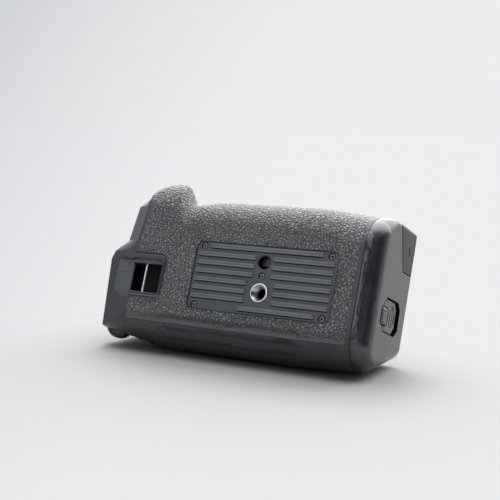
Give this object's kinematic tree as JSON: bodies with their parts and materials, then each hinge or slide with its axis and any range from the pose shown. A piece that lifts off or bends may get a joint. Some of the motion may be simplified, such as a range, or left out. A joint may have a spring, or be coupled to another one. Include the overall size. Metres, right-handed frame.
{
  "type": "wireless file transmitter grip",
  "caption": "Wireless file transmitter that screws under a camera and doubles as its vertical grip, with a battery tray.",
  "frame": {"origin": "centre of the tripod socket's mouth, on the bottom face that carries the ribbed plate", "axes": "+X towards the battery end along the longest side, +Y from the bottom face towards the camera body, so the tripod socket opens towards -Y, +Z the way the camera looks, towards the locating hole"},
  "size_m": [0.1481, 0.131, 0.0828],
  "materials": {
    "casing_black": "fine grained",
    "leatherette": "pebbled",
    "plate_black": "satin",
    "bright_steel": "turned",
    "dark_screw": "black oxide",
    "frame_alloy": "cast",
    "knob_black": "polished",
    "seal_rubber": "smooth",
    "board_green": "coated",
    "contact_gold": "plated",
    "battery_grey": "moulded"
  },
  "bodies": {
    "housing": {"front_shell": "casing_black", "rear_shell": "casing_black", "strap_bezel": "casing_black", "deck_plate": "casing_black", "insert_body": "casing_black", "insert_cap": "casing_black", "network_jack": "casing_black", "contact_block": "casing_black", "tray_guides": "casing_black", "rear_dial_bracket": "casing_black", "front_dial_bracket": "casing_black", "grip_cover": "leatherette", "base_plate": "plate_black", "tripod_socket": "bright_steel", "alignment_pin": "bright_steel", "strap_pin": "bright_steel", "rear_dial_axle": "bright_steel", "front_dial_axle": "bright_steel", "wheel_bush": "bright_steel", "plate_screws": "dark_screw", "deck_screws": "dark_screw", "metal_frame": "frame_alloy", "radio_module": "frame_alloy", "shutter_ring": "knob_black", "deck_pad": "seal_rubber", "main_board": "board_green", "antenna": "board_green", "shutter_switch": "board_green", "insert_contacts": "contact_gold", "bay_contacts": "contact_gold"},
    "lock": {"lock_wheel": "knob_black", "lock_screw": "bright_steel"},
    "tray": {"end_cap": "casing_black", "battery_tray": "casing_black", "battery_pack": "battery_grey"},
    "latch": {"tray_latch": "plate_black"},
    "port_flap": {"port_cover": "seal_rubber"},
    "rear_thumb_wheel": {"rear_dial": "knob_black"},
    "front_thumb_wheel": {"front_dial": "knob_black"},
    "shutter": {"shutter_button": "knob_black"},
    "power": {"power_lever": "knob_black"},
    "focus_point": {"focus_point_button": "knob_black"},
    "exposure_lock": {"exposure_lock_button": "knob_black"},
    "focus_start": {"focus_start_button": "knob_black"}
  },
  "joints": [
    {"name": "lock_turn", "type": "hinge", "parent": "housing", "child": "lock", "pos_m": [0, 0.037, 0], "axis": [0, 1, 0], "continuous": true},
    {"name": "tray_slide", "type": "slide", "parent": "housing", "child": "tray", "axis": [1, 0, 0], "range_m": [0, 0.066]},
    {"name": "latch_slide", "type": "slide", "parent": "tray", "child": "latch", "axis": [0, 1, 0], "range_m": [0, 0.0026], "stiffness_N_per_m": 500},
    {"name": "port_cover_hinge", "type": "hinge", "parent": "housing", "child": "port_flap", "pos_m": [0.057, 0.02955, 0.0215], "axis": [0, 0.4313, -0.9022], "range_deg": [0, 100]},
    {"name": "rear_dial_turn", "type": "hinge", "parent": "housing", "child": "rear_thumb_wheel", "pos_m": [-0.0825, 0.014, -0.0206], "axis": [0, 1, 0], "continuous": true},
    {"name": "front_dial_turn", "type": "hinge", "parent": "housing", "child": "front_thumb_wheel", "pos_m": [-0.075, 0.024, 0.025], "axis": [0, 1, 0], "continuous": true},
    {"name": "shutter_press", "type": "slide", "parent": "housing", "child": "shutter", "axis": [0.669, 0, -0.7433], "range_m": [0, 0.0012], "stiffness_N_per_m": 1000},
    {"name": "power_turn", "type": "hinge", "parent": "housing", "child": "power", "pos_m": [-0.0894, 0.024, -0.0045], "axis": [1, 0, 0], "range_deg": [0, 40]},
    {"name": "focus_point_press", "type": "slide", "parent": "housing", "child": "focus_point", "axis": [0, -0.342, 0.9397], "range_m": [0, 0.0008], "stiffness_N_per_m": 1500},
    {"name": "exposure_lock_press", "type": "slide", "parent": "housing", "child": "exposure_lock", "axis": [0, -0.342, 0.9397], "range_m": [0, 0.0008], "stiffness_N_per_m": 1500},
    {"name": "focus_start_press", "type": "slide", "parent": "housing", "child": "focus_start", "axis": [0, -0.342, 0.9397], "range_m": [0, 0.0008], "stiffness_N_per_m": 1500}
  ]
}
